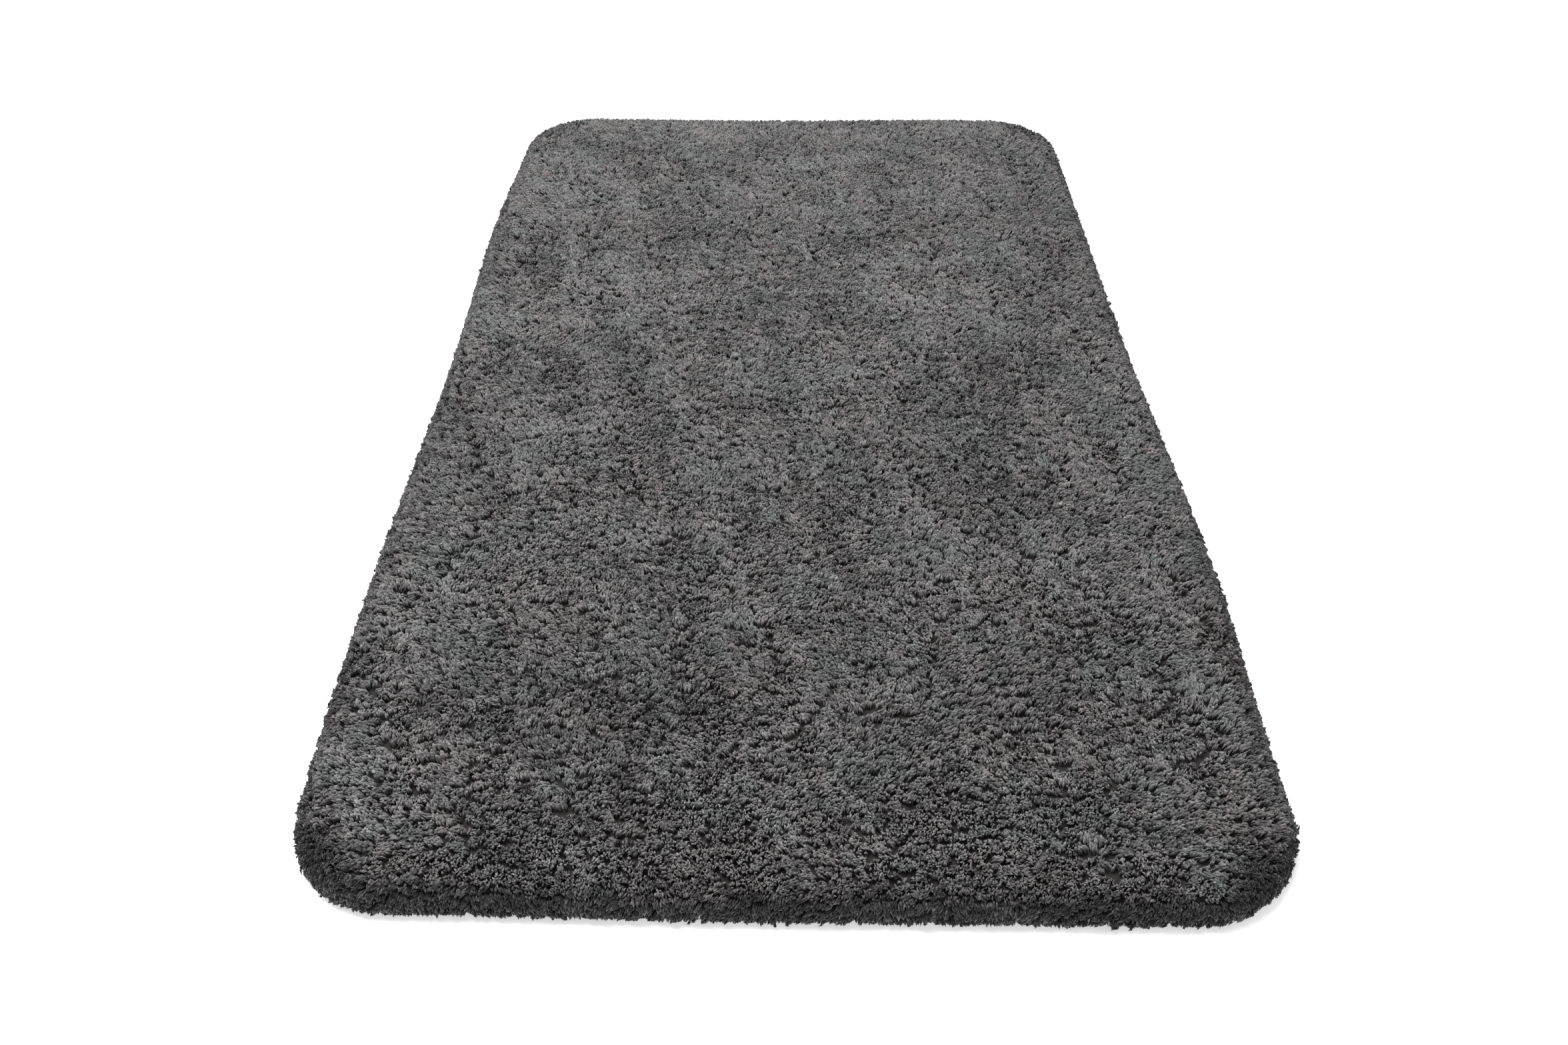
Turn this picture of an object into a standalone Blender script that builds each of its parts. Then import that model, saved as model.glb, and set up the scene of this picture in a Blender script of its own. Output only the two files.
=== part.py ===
"""Tufted bath mat with a deep cut pile, built up in layers from the floor.

From the bottom: an anti-slip latex coat, the latex precoat that locks the tufts, the woven primary
backing that the tufts are stitched through, and the pile. A folded tape binds the cut edge of the
backing, held by one lockstitch seam, and a care label is sewn flat to the underside.
Metres, +Z up, +Y along the mat, with the origin on the floor under the middle of the mat.
"""

import math

import bmesh
import bpy

MM = 0.001

# The whole mat, measured over the tips of the pile.
MAT_WIDTH = 700 * MM
MAT_LENGTH = 1200 * MM
MAT_HEIGHT = 28 * MM
CORNER_RADIUS = 84 * MM

# The pile's section: a wide shoulder that rolls over, and a lip that tucks in just above the floor.
SHOULDER_RADIUS = 17 * MM
LIP_RADIUS = 5 * MM
LIP_FLOOR_GAP = 1 * MM
PILE_OVERHANG = 15 * MM
PILE_CLEARANCE = 0.6 * MM

# The layers under the pile. Pieces that touch keep LAYER_GAP between them.
LAYER_GAP = 0.3 * MM
PRECOAT_THICKNESS = 0.8 * MM
BACKING_THICKNESS = 0.7 * MM
COAT_MARGIN = 1 * MM

# The tape folded round the backing's cut edge, and the thread of its seam.
TAPE_THICKNESS = 0.8 * MM
TAPE_LEG = 11 * MM
SEAM_INSET = 8 * MM
THREAD_DIAMETER = 0.5 * MM
SEAM_FLOOR_GAP = 0.1 * MM

# The care label, sewn flat near a corner of the underside, and the thread round it.
LABEL_WIDTH = 60 * MM
LABEL_LENGTH = 35 * MM
LABEL_THICKNESS = 0.25 * MM
LABEL_MARGIN = 40 * MM
LABEL_SEAM_INSET = 3 * MM
LABEL_THREAD_DIAMETER = 0.25 * MM
LABEL_CLEARANCE = 1 * MM

# How finely round shapes are faceted, and how far a cutter runs past what it cuts.
CORNER_SEGMENTS = 10
SHOULDER_SEGMENTS = 6
LIP_SEGMENTS = 3
THREAD_RESOLUTION = 2
CUT_PAST = 5 * MM

# Heights of the layers, counted up from the floor. The anti-slip coat is thick enough to hold the
# tape's lower leg and its thread just clear of the floor.
UNDER_SEAM_HEIGHT = SEAM_FLOOR_GAP + THREAD_DIAMETER / 2
TAPE_LOW = SEAM_FLOOR_GAP + THREAD_DIAMETER + LAYER_GAP
COAT_THICKNESS = TAPE_LOW + TAPE_THICKNESS
PRECOAT_LOW = COAT_THICKNESS + LAYER_GAP
PRECOAT_HIGH = PRECOAT_LOW + PRECOAT_THICKNESS
BACKING_LOW = PRECOAT_HIGH + LAYER_GAP
BACKING_HIGH = BACKING_LOW + BACKING_THICKNESS
SLOT_LOW = PRECOAT_LOW - LAYER_GAP
SLOT_HIGH = BACKING_HIGH + LAYER_GAP
TAPE_HIGH = SLOT_HIGH + TAPE_THICKNESS
UPPER_SEAM_HEIGHT = TAPE_HIGH + LAYER_GAP + THREAD_DIAMETER / 2
BORDER_ROOF = UPPER_SEAM_HEIGHT + THREAD_DIAMETER / 2 + LAYER_GAP

# Insets of the outlines, counted in from the tips of the pile.
RECESS_INSET = PILE_OVERHANG - PILE_CLEARANCE
TAPE_INSET = PILE_OVERHANG
BACKING_INSET = TAPE_INSET + TAPE_THICKNESS + LAYER_GAP
TAPE_INNER_INSET = TAPE_INSET + TAPE_LEG
SEAM_LINE_INSET = TAPE_INSET + SEAM_INSET
COAT_INSET = TAPE_INNER_INSET + COAT_MARGIN

# The label's own heights and its middle.
LABEL_SEAM_HEIGHT = LABEL_THREAD_DIAMETER / 2 + LAYER_GAP / 2
LABEL_LOW = LABEL_SEAM_HEIGHT + LABEL_THREAD_DIAMETER / 2 + LAYER_GAP
LABEL_HIGH = LABEL_LOW + LABEL_THICKNESS
LABEL_X = MAT_WIDTH / 2 - COAT_INSET - LABEL_MARGIN - LABEL_WIDTH / 2
LABEL_Y = MAT_LENGTH / 2 - COAT_INSET - LABEL_MARGIN - LABEL_LENGTH / 2


def start_collections():
    """Empties the scene and makes one collection for the mat and one for its cutters."""
    for old in list(bpy.data.objects):
        bpy.data.objects.remove(old)
    made = []
    for name in ("bath_mat", "cutters"):
        collection = bpy.data.collections.new(name)
        bpy.context.scene.collection.children.link(collection)
        made.append(collection)
    return made


def finish_of(name, colour, roughness):
    """A plain material of one colour. Nothing on the mat is metal."""
    material = bpy.data.materials.new(name)
    material.use_nodes = True
    shader = material.node_tree.nodes["Principled BSDF"]
    shader.inputs["Base Color"].default_value = (*colour, 1)
    shader.inputs["Roughness"].default_value = roughness
    shader.inputs["Metallic"].default_value = 0
    return material


def upright_edges(work):
    return [e for e in work.edges if abs(e.verts[0].co.z - e.verts[1].co.z) > 0.01 * MM]


def rim_edges(work, height):
    """The edges of the outline at this height."""
    return [e for e in work.edges if all(abs(v.co.z - height) < 0.01 * MM for v in e.verts)]


def block(name, size, centre, corner_radius, rims=()):
    """A box with rounded upright corners. Each of rims is (height, radius, segments) of a rim to round."""
    work = bmesh.new()
    bmesh.ops.create_cube(work, size=1)
    bmesh.ops.scale(work, vec=size, verts=work.verts)
    bmesh.ops.translate(work, vec=centre, verts=work.verts)
    bmesh.ops.bevel(
        work,
        geom=upright_edges(work),
        offset=corner_radius,
        segments=CORNER_SEGMENTS,
        profile=0.5,
        affect="EDGES",
    )
    for height, radius, segments in rims:
        bmesh.ops.bevel(
            work,
            geom=rim_edges(work, height),
            offset=radius,
            segments=segments,
            profile=0.5,
            affect="EDGES",
        )
    mesh = bpy.data.meshes.new(name)
    work.to_mesh(mesh)
    work.free()
    return bpy.data.objects.new(name, mesh)


def layer(name, inset, low, high, rims=()):
    """A flat layer whose outline runs inset inside the tips of the pile, between two heights."""
    size = (MAT_WIDTH - 2 * inset, MAT_LENGTH - 2 * inset, high - low)
    return block(name, size, (0, 0, (low + high) / 2), CORNER_RADIUS - inset, rims)


def place(obj, collection, material):
    collection.objects.link(obj)
    obj.data.materials.append(material)
    return obj


def cut(target, cutter, cutters):
    """Takes the cutter's shape out of the target, and keeps the cutter out of renders."""
    if cutter.name not in cutters.objects:
        cutters.objects.link(cutter)
        cutter.hide_render = True
        cutter.display_type = "WIRE"
    boolean = target.modifiers.new("cut_" + cutter.name, "BOOLEAN")
    boolean.operation = "DIFFERENCE"
    boolean.solver = "EXACT"
    boolean.object = cutter


def rounded_outline(half_width, half_length, radius):
    """Points round a rectangle with round corners, anticlockwise from the +X side."""
    points = []
    corners = ((1, 1, 0), (-1, 1, 90), (-1, -1, 180), (1, -1, 270))
    for side_x, side_y, start in corners:
        for step in range(CORNER_SEGMENTS + 1):
            angle = math.radians(start + 90 * step / CORNER_SEGMENTS)
            x = side_x * (half_width - radius) + radius * math.cos(angle)
            y = side_y * (half_length - radius) + radius * math.sin(angle)
            points.append((x, y))
    return points


def thread_loop(name, points, height, diameter):
    """One thread laid flat round a closed line of points."""
    curve = bpy.data.curves.new(name, "CURVE")
    curve.dimensions = "3D"
    curve.bevel_depth = diameter / 2
    curve.bevel_resolution = THREAD_RESOLUTION
    line = curve.splines.new("POLY")
    line.points.add(len(points) - 1)
    for point, (x, y) in zip(line.points, points):
        point.co = (x, y, height, 1)
    line.use_cyclic_u = True
    return bpy.data.objects.new(name, curve)


def make_pile(mat, cutters, yarn):
    """Thousands of cut tufts, here as the one soft body they make, rolled over the bound edge."""
    rims = (
        (MAT_HEIGHT, SHOULDER_RADIUS, SHOULDER_SEGMENTS),
        (LIP_FLOOR_GAP, LIP_RADIUS, LIP_SEGMENTS),
    )
    pile = place(layer("pile", 0, LIP_FLOOR_GAP, MAT_HEIGHT, rims), mat, yarn)
    field = layer("recess_field", RECESS_INSET, -CUT_PAST, SLOT_HIGH)
    cut(pile, field, cutters)
    # Over the tape the pile's root lies higher, to clear the tape's upper leg and its seam.
    border = layer("recess_border", RECESS_INSET, BACKING_LOW, BORDER_ROOF)
    middle = layer("recess_middle", TAPE_INNER_INSET + PILE_CLEARANCE, -CUT_PAST, BORDER_ROOF + CUT_PAST)
    cut(border, middle, cutters)
    cut(pile, border, cutters)


def make_backing(mat, cutters, weave, latex, rubber):
    """The woven backing, the precoat under it, and the anti-slip coat that lies on the floor."""
    place(layer("primary_backing", BACKING_INSET, BACKING_LOW, BACKING_HIGH), mat, weave)
    place(layer("latex_precoat", BACKING_INSET, PRECOAT_LOW, PRECOAT_HIGH), mat, latex)
    coat = place(layer("anti_slip_coat", COAT_INSET, 0, COAT_THICKNESS), mat, rubber)
    # The soft coat gives under the label, so it is thinner there.
    roof = LABEL_HIGH + LAYER_GAP
    size = (
        LABEL_WIDTH + 2 * LABEL_CLEARANCE,
        LABEL_LENGTH + 2 * LABEL_CLEARANCE,
        roof + CUT_PAST,
    )
    pocket = block("label_pocket", size, (LABEL_X, LABEL_Y, (roof - CUT_PAST) / 2), LABEL_CLEARANCE)
    cut(coat, pocket, cutters)


def make_binding(mat, cutters, tape, thread):
    """A tape folded round the backing's edge, with the needle thread above and the bobbin thread under."""
    binding = place(layer("edge_binding", TAPE_INSET, TAPE_LOW, TAPE_HIGH), mat, tape)
    fold = layer("tape_fold", TAPE_INSET + TAPE_THICKNESS, SLOT_LOW, SLOT_HIGH)
    opening = layer("tape_opening", TAPE_INNER_INSET, -CUT_PAST, TAPE_HIGH + CUT_PAST)
    cut(binding, fold, cutters)
    cut(binding, opening, cutters)
    line = rounded_outline(
        MAT_WIDTH / 2 - SEAM_LINE_INSET,
        MAT_LENGTH / 2 - SEAM_LINE_INSET,
        CORNER_RADIUS - SEAM_LINE_INSET,
    )
    for name, height in (
        ("binding_seam_upper", UPPER_SEAM_HEIGHT),
        ("binding_seam_under", UNDER_SEAM_HEIGHT),
    ):
        place(thread_loop(name, line, height, THREAD_DIAMETER), mat, thread)


def make_label(mat, ribbon, thread):
    """A blank satin label and the seam that holds all four of its sides."""
    size = (LABEL_WIDTH, LABEL_LENGTH, LABEL_THICKNESS)
    centre = (LABEL_X, LABEL_Y, (LABEL_LOW + LABEL_HIGH) / 2)
    place(block("care_label", size, centre, LABEL_CLEARANCE), mat, ribbon)
    line = rounded_outline(
        LABEL_WIDTH / 2 - LABEL_SEAM_INSET,
        LABEL_LENGTH / 2 - LABEL_SEAM_INSET,
        LABEL_CLEARANCE,
    )
    line = [(LABEL_X + x, LABEL_Y + y) for x, y in line]
    seam = thread_loop("care_label_seam", line, LABEL_SEAM_HEIGHT, LABEL_THREAD_DIAMETER)
    place(seam, mat, thread)


def main():
    mat, cutters = start_collections()
    yarn = finish_of("microfibre_yarn", (0.105, 0.102, 0.103), 0.9)
    weave = finish_of("woven_backing", (0.13, 0.13, 0.13), 0.85)
    latex = finish_of("precoat_latex", (0.55, 0.53, 0.48), 0.6)
    rubber = finish_of("anti_slip_latex", (0.30, 0.30, 0.30), 0.65)
    tape = finish_of("binding_tape", (0.06, 0.06, 0.062), 0.85)
    thread = finish_of("sewing_thread", (0.09, 0.09, 0.092), 0.6)
    ribbon = finish_of("label_satin", (0.80, 0.80, 0.78), 0.45)
    make_pile(mat, cutters, yarn)
    make_backing(mat, cutters, weave, latex, rubber)
    make_binding(mat, cutters, tape, thread)
    make_label(mat, ribbon, thread)


main()
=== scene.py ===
import bpy
import numpy as np
from mathutils import Euler, Matrix, Vector


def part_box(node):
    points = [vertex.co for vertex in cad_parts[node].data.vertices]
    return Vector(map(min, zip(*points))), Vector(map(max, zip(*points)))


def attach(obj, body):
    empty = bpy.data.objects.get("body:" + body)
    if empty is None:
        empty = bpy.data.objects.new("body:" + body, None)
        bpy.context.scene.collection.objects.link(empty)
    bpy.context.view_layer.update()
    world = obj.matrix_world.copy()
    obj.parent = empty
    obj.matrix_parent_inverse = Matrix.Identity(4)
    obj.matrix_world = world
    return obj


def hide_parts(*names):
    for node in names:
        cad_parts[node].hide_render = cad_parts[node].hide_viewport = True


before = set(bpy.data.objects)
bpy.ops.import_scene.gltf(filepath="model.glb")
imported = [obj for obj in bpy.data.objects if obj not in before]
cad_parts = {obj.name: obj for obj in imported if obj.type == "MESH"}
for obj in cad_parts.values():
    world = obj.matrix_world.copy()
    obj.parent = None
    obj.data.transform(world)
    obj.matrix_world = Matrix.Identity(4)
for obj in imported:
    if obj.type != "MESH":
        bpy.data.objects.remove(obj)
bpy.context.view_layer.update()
bpy.ops.object.select_all(action="DESELECT")


# ---- Pile ----
# Cut microfibre yarn in deep tufts. A tuft's strands stick together into a soft head that leans a
# little to one side, and over the edge of the mat the tufts fall outwards and hang to the floor.

MM = 0.001
(pile_left, pile_front, pile_low), (pile_right, pile_back, pile_top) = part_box("pile")


class Signal:
    """A value, colour or vector in a material, so that patterns can be written as sums."""

    def __init__(self, tree, socket):
        self.tree = tree
        self.socket = socket

    def add(self, kind, settings=(), output=0, **inputs):
        """Adds a node with these settings and inputs. An input named _2 is its third socket."""
        node = self.tree.nodes.new(kind)
        for name, value in dict(settings).items():
            setattr(node, name, value)
        for name, value in inputs.items():
            place = int(name[1:]) if name[0] == "_" and name[1:].isdigit() else name.replace("_", " ")
            if isinstance(value, Signal):
                self.tree.links.new(value.socket, node.inputs[place])
            else:
                node.inputs[place].default_value = value
        return Signal(self.tree, node.outputs[output])

    def maths(self, operation, *values):
        inputs = {f"_{i}": value for i, value in enumerate(values)}
        return self.add("ShaderNodeMath", {"operation": operation}, **inputs)

    def __add__(self, other):
        return self.maths("ADD", self, other)

    def __sub__(self, other):
        return self.maths("SUBTRACT", self, other)

    def __rsub__(self, other):
        return self.maths("SUBTRACT", other, self)

    def __mul__(self, other):
        return self.maths("MULTIPLY", self, other)

    def __truediv__(self, other):
        return self.maths("DIVIDE", self, other)

    __radd__, __rmul__ = __add__, __mul__

    def floor(self):
        return self.maths("FLOOR", self)

    def clamped(self):
        """Kept between 0 and 1."""
        return self.maths("MAXIMUM", self.maths("MINIMUM", self, 1.0), 0.0)

    def parts(self):
        """The three values of a vector."""
        node = self.tree.nodes.new("ShaderNodeSeparateXYZ")
        self.tree.links.new(self.socket, node.inputs[0])
        return [Signal(self.tree, socket) for socket in node.outputs]

    def joined(self, x, y, z=0.0):
        """A vector of three values."""
        return self.add("ShaderNodeCombineXYZ", X=x, Y=y, Z=z)

    def mixed(self, low, high):
        """Goes from one colour to another as this value goes from 0 to 1."""
        colours = [c if isinstance(c, Signal) else (*c, 1) for c in (low, high)]
        settings = {"data_type": "RGBA"}
        return self.add("ShaderNodeMix", settings, 2, _0=self, _6=colours[0], _7=colours[1])

    def shaded(self, amount):
        """This colour made darker or lighter by a factor."""
        grey = self.joined(amount, amount, amount)
        settings = {"data_type": "RGBA", "blend_type": "MULTIPLY"}
        return self.add("ShaderNodeMix", settings, 2, _0=1.0, _6=self, _7=grey)


def new_material(name, **constants):
    """A Principled material, what reads its coordinates, and its shader."""
    material = bpy.data.materials.new(name)
    material.use_nodes = True
    tree = material.node_tree
    shader = tree.nodes["Principled BSDF"]
    for socket, value in constants.items():
        shader.inputs[socket.replace("_", " ")].default_value = value
    start = tree.nodes.new("ShaderNodeTexCoord")
    return material, Signal(tree, start.outputs["Object"]), Signal(tree, shader.inputs["Base Color"])


def feed(shader, **values):
    """Links values to the shader's sockets."""
    for name, value in values.items():
        shader.tree.links.new(value.socket, shader.socket.node.inputs[name.replace("_", " ")])


# Each strand's colours lie in a narrow upright window of its own map: root at the foot, tip at the
# head. Which window says how much painted light or painted shade the strand carries, and how warm
# its yarn is.
PAINTED_LIGHT_STEPS = 10
WARMTHS = 6
WINDOWS = PAINTED_LIGHT_STEPS * WARMTHS
FIBRES_PER_WINDOW = 6


def yarn_material():
    material, place, shader = new_material(
        "microfibre_yarn",
        Roughness=0.75,
        Sheen_Weight=0.35,
        Sheen_Roughness=0.4,
        Specular_IOR_Level=0.25,
    )
    across, along, _ = place.add("ShaderNodeUVMap", {"uv_map": "OFBake"}).parts()
    window = (across * WINDOWS).floor()
    warmth = (window / PAINTED_LIGHT_STEPS).floor()
    painted_light = (window - warmth * PAINTED_LIGHT_STEPS) / (PAINTED_LIGHT_STEPS - 1)
    warmth = warmth / (WARMTHS - 1)
    fibres = place.add(
        "ShaderNodeTexNoise",
        {"noise_dimensions": "2D"},
        Vector=place.joined(across * (WINDOWS * FIBRES_PER_WINDOW), along * 3.0),
        Scale=1.0,
        Detail=1.0,
        Roughness=0.5,
    )
    # The roots are painted darker than the tips: painted shade deep in the pile, where little light
    # reaches.
    tip = warmth.mixed((0.182, 0.189, 0.189), (0.207, 0.185, 0.188))
    root = warmth.mixed((0.064, 0.064, 0.064), (0.086, 0.071, 0.069))
    colour = ((along - 0.5) * 2.2).clamped().mixed(root, tip)
    # The fibre lines make the yarn darker between its fibres: painted shade in the grooves that the
    # bump also draws.
    lines = ((fibres - 0.36) * 3.6).clamped()
    light = (0.12 + 1.57 * painted_light) * (0.56 + 0.72 * lines)
    feed(shader, Base_Color=colour.shaded(light))
    bump = place.add("ShaderNodeBump", Strength=0.8, Distance=0.3 * MM, Height=lines)
    feed(shader, Normal=bump)
    return material


yarn = yarn_material()
random = np.random.default_rng(7)


def rolling(points, shortest, longest, waves=24):
    """A smooth random value, about -1 to 1, over the mat, from crossed waves of these lengths."""
    angle = random.uniform(0, 2 * np.pi, waves)
    length = shortest * (longest / shortest) ** random.random(waves)
    phase = random.uniform(0, 2 * np.pi, waves)
    across = points[:, :1] * np.cos(angle) + points[:, 1:2] * np.sin(angle)
    return np.sin(across * 2 * np.pi / length + phase).sum(1) / np.sqrt(waves / 2) / 1.6


# The pile's outer surface, unrolled: flat on top, then round the shoulder, down the side and in
# under the lip. SHOULDER and LIP are radii.
SHOULDER = 17 * MM
LIP = 5 * MM
CORNER = 84 * MM
SIDE = pile_top - SHOULDER - LIP - pile_low
TURN = SHOULDER * np.pi / 2
LAST_TIP = TURN + SIDE + LIP * 0.9
flat_half = np.array([pile_right - SHOULDER, pile_back - SHOULDER])
flat_corner = CORNER - SHOULDER


def past_top(points):
    """How far a point of the unrolled mat is past the flat top, and which way that is."""
    inner = flat_half - flat_corner
    over = np.maximum(np.abs(points) - inner, 0)
    far = np.linalg.norm(over, axis=1, keepdims=True)
    outward = np.sign(points) * over / np.maximum(far, 1e-9)
    inside = np.max(np.abs(points) - flat_half, axis=1, keepdims=True)
    past = np.where((over > 0).all(1, keepdims=True) | (far > flat_corner), far - flat_corner, inside)
    return past[:, 0], outward


def bowed(spots):
    """The soft mat lies a little out of true: its edges bow in and out by a few millimetres."""
    x, y = spots.T

    def swell(place, middle, half, rise):
        return rise * MM * np.exp(-(((place - middle) / half) ** 2))

    right = swell(y, -0.25, 0.2, 9)
    left = swell(y, 0.3, 0.2, 9) + swell(y, -0.25, 0.15, 3) - swell(y, -0.53, 0.06, 4)
    back = swell(x, 0.22, 0.15, 9)
    front = -swell(x, -0.25, 0.15, 3)
    x = x + np.where(x > 0, right, -left) * np.clip(np.abs(x) / pile_right, 0, 1) ** 3
    y = y + np.where(y > 0, back, -front) * np.clip(np.abs(y) / pile_back, 0, 1) ** 6
    return np.column_stack([x, y])


def rolled(points, depth):
    """Where a point at this depth under the unrolled surface lies on the mat."""
    past, outward = past_top(points)
    over = past > 0
    edge = points - outward * past[:, None]
    angle = np.clip(past / SHOULDER, 0, np.pi / 2)
    out = (SHOULDER - depth) * np.sin(angle)
    height = pile_top - SHOULDER + (SHOULDER - depth) * np.cos(angle)
    down = np.clip(past - TURN, 0, SIDE)
    height = height - np.where(past > TURN, down, 0)
    curl = np.clip((past - TURN - SIDE) / LIP, 0, np.pi / 2)
    out = np.where(past > TURN + SIDE, SHOULDER - LIP + (LIP - depth) * np.cos(curl), out)
    height = np.where(past > TURN + SIDE, pile_low + LIP - (LIP - depth) * np.sin(curl), height)
    spot = np.where(over[:, None], edge + outward * out[:, None], points)
    height = np.where(over, height, pile_top - depth)
    return np.column_stack([bowed(spot), height])


def strand_shape(widest, flatness):
    """One strand along +Z from a point at 0 to its tip at 1, three-sided, widest at this height."""
    bpy.ops.mesh.primitive_cone_add(vertices=3, depth=1 - widest, location=(0, 0, (1 + widest) / 2))
    strand = bpy.context.object
    bpy.ops.object.transform_apply(location=True, rotation=True, scale=True)
    bpy.ops.object.mode_set(mode="EDIT")
    bpy.ops.mesh.select_mode(type="FACE")
    bpy.ops.mesh.select_all(action="DESELECT")
    bpy.ops.object.mode_set(mode="OBJECT")
    for face in strand.data.polygons:
        face.select = face.normal.z < -0.9
    bpy.ops.object.mode_set(mode="EDIT")
    bpy.ops.mesh.poke()
    bpy.ops.object.mode_set(mode="OBJECT")
    places = np.array([v.co for v in strand.data.vertices])
    root = (np.linalg.norm(places[:, :2], axis=1) < 1e-4) & (places[:, 2] < widest + 1e-4)
    places[root, 2] = 0
    places[:, 1] *= flatness
    faces = [list(p.vertices) for p in strand.data.polygons]
    bpy.data.objects.remove(strand)
    return places, faces


def strand_map(places, faces):
    """The strand's own map: across goes round it, and along goes from its root to its tip."""
    spots = []
    for face in faces:
        turn = np.arctan2(places[face, 1], places[face, 0]) / (2 * np.pi) % 1
        pointed = np.linalg.norm(places[face, :2], axis=1) < 1e-6
        solid = turn[~pointed]
        if np.ptp(solid) > 0.5 and len(set(np.round(places[face, 2], 4))) > 1:
            solid = np.where(solid < 0.5, solid + 1, solid)
        turn[~pointed] = solid
        turn[pointed] = solid.mean()
        up = places[face, 2].copy()
        if np.ptp(up) < 1e-6:
            up = up + 0.03 * np.arange(len(up)) / len(up)
        spots += list(zip(turn, up))
    spots = np.array(spots)
    spots[:, 0] = (spots[:, 0] - spots[:, 0].min()) / np.ptp(spots[:, 0])
    return spots


FLOOR_GAP = 0.3 * MM


def stamped(name, shape, line, width, turn, window):
    """Copies a strand along each line. line(t) gives where every strand's middle is at height t."""
    places, faces = shape
    count = len(width)
    heights = sorted(set(np.round(places[:, 2], 4)))
    spots = np.empty((count, len(places), 3))
    for height in heights:
        middle = line(height)
        ahead = line(min(height + 0.04, 1.0)) - line(max(height - 0.04, 0.0))
        ahead /= np.linalg.norm(ahead, axis=1, keepdims=True)
        lean = np.column_stack([np.cos(3 * turn), np.sin(3 * turn), np.full(count, 0.2)])
        side = np.cross(ahead, lean)
        side /= np.linalg.norm(side, axis=1, keepdims=True)
        front = np.cross(ahead, side)
        for index in np.flatnonzero(np.abs(places[:, 2] - height) < 0.001):
            x, y, _ = places[index]
            spots[:, index] = middle + (x * side + y * front) * width[:, None]
    spots[:, :, 2] = np.maximum(spots[:, :, 2], FLOOR_GAP)
    sizes = np.array([len(f) for f in faces])
    corners = np.concatenate([np.array(f) for f in faces])
    mesh = bpy.data.meshes.new(name)
    mesh.vertices.add(count * len(places))
    mesh.vertices.foreach_set("co", spots.ravel())
    mesh.loops.add(count * len(corners))
    all_corners = (np.arange(count)[:, None] * len(places) + corners).ravel()
    mesh.loops.foreach_set("vertex_index", all_corners.astype(np.int32))
    mesh.polygons.add(count * len(sizes))
    starts = np.concatenate([[0], np.cumsum(sizes)[:-1]])
    all_starts = (np.arange(count)[:, None] * len(corners) + starts).ravel()
    mesh.polygons.foreach_set("loop_start", all_starts.astype(np.int32))
    mesh.update(calc_edges=True)
    own = strand_map(places, faces)
    spread = np.empty((count, len(corners), 2))
    spread[:, :, 0] = (window[:, None] + 0.04 + 0.92 * own[:, 0]) / WINDOWS
    spread[:, :, 1] = own[:, 1]
    layer = mesh.uv_layers.new(name="OFBake", do_init=False)
    layer.uv.foreach_set("vector", spread.astype(np.float32).ravel())
    mesh.polygons.foreach_set("use_smooth", np.ones(count * len(sizes), bool))
    mesh.validate()
    return mesh


TUFT_PITCH = 7.2 * MM
ROW_PITCH = 4.9 * MM
TUFT_STRANDS = 11
ROOT_DEPTH = 11 * MM
STRAND_WIDTH = 1.5 * MM
HEAD_DOME = 2.2 * MM
TUFT_SCATTER = 0.8 * MM
TUFT_LEAN = 4.4 * MM
COMBED_EDGE = 110 * MM
TURNING_EDGE = 200 * MM
PAINTED_LIGHT_SCATTER = 0.11
WARMTH_SCATTER = 0.08

reach = flat_half + LAST_TIP
columns = int(reach[0] * 2 / TUFT_PITCH) + 2
rows = int(reach[1] * 2 / ROW_PITCH) + 2
grid_x, grid_y = np.meshgrid(np.arange(columns), np.arange(rows))
tufts = np.column_stack(
    [
        (grid_x.ravel() + 0.5 * (grid_y.ravel() % 2)) * TUFT_PITCH - reach[0],
        grid_y.ravel() * ROW_PITCH - reach[1],
    ]
)
tufts += random.normal(0, TUFT_SCATTER, tufts.shape)
past, outward = past_top(tufts)
tufts, past, outward = tufts[past < LAST_TIP], past[past < LAST_TIP], outward[past < LAST_TIP]

# How far each tuft leans, and which way: by whim in the field, outwards near the edge.
combed = np.clip(1 + past / COMBED_EDGE, 0, 1) ** 1.5
ways = np.sign(tufts) * np.maximum(np.abs(tufts) - (flat_half - TURNING_EDGE), 0)
ways /= np.maximum(np.linalg.norm(ways, axis=1, keepdims=True), 1e-9)
ways = np.where(past[:, None] > -20 * MM, outward, ways)
whim = np.column_stack([rolling(tufts, 50 * MM, 260 * MM), rolling(tufts, 50 * MM, 260 * MM)])
long = tufts * (0.45, 1)
small = np.column_stack([rolling(long, 9 * MM, 26 * MM), rolling(long, 9 * MM, 26 * MM)])
tuft_lean = whim * (1.5, 0.6) + 0.45 * small + 1.5 * ways * combed[:, None]
tuft_lean += random.normal(0, 0.45, tufts.shape)
tuft_lean /= np.maximum(np.linalg.norm(tuft_lean, axis=1, keepdims=True), 0.5)
tuft_lean *= TUFT_LEAN * random.uniform(0.6, 1.2, (len(tufts), 1)) * (1 + 0.25 * combed[:, None])
tuft_drop = np.abs(random.normal(0, 0.6 * MM, len(tufts)))
tuft_drop += 0.45 * MM * (1 + rolling(long, 8 * MM, 20 * MM))
tuft_drop -= 2 * MM * np.clip((past - 0.7 * TURN) / (SIDE + LIP), 0, 1)
tuft_size = random.uniform(0.9, 1.1, len(tufts))
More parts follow.
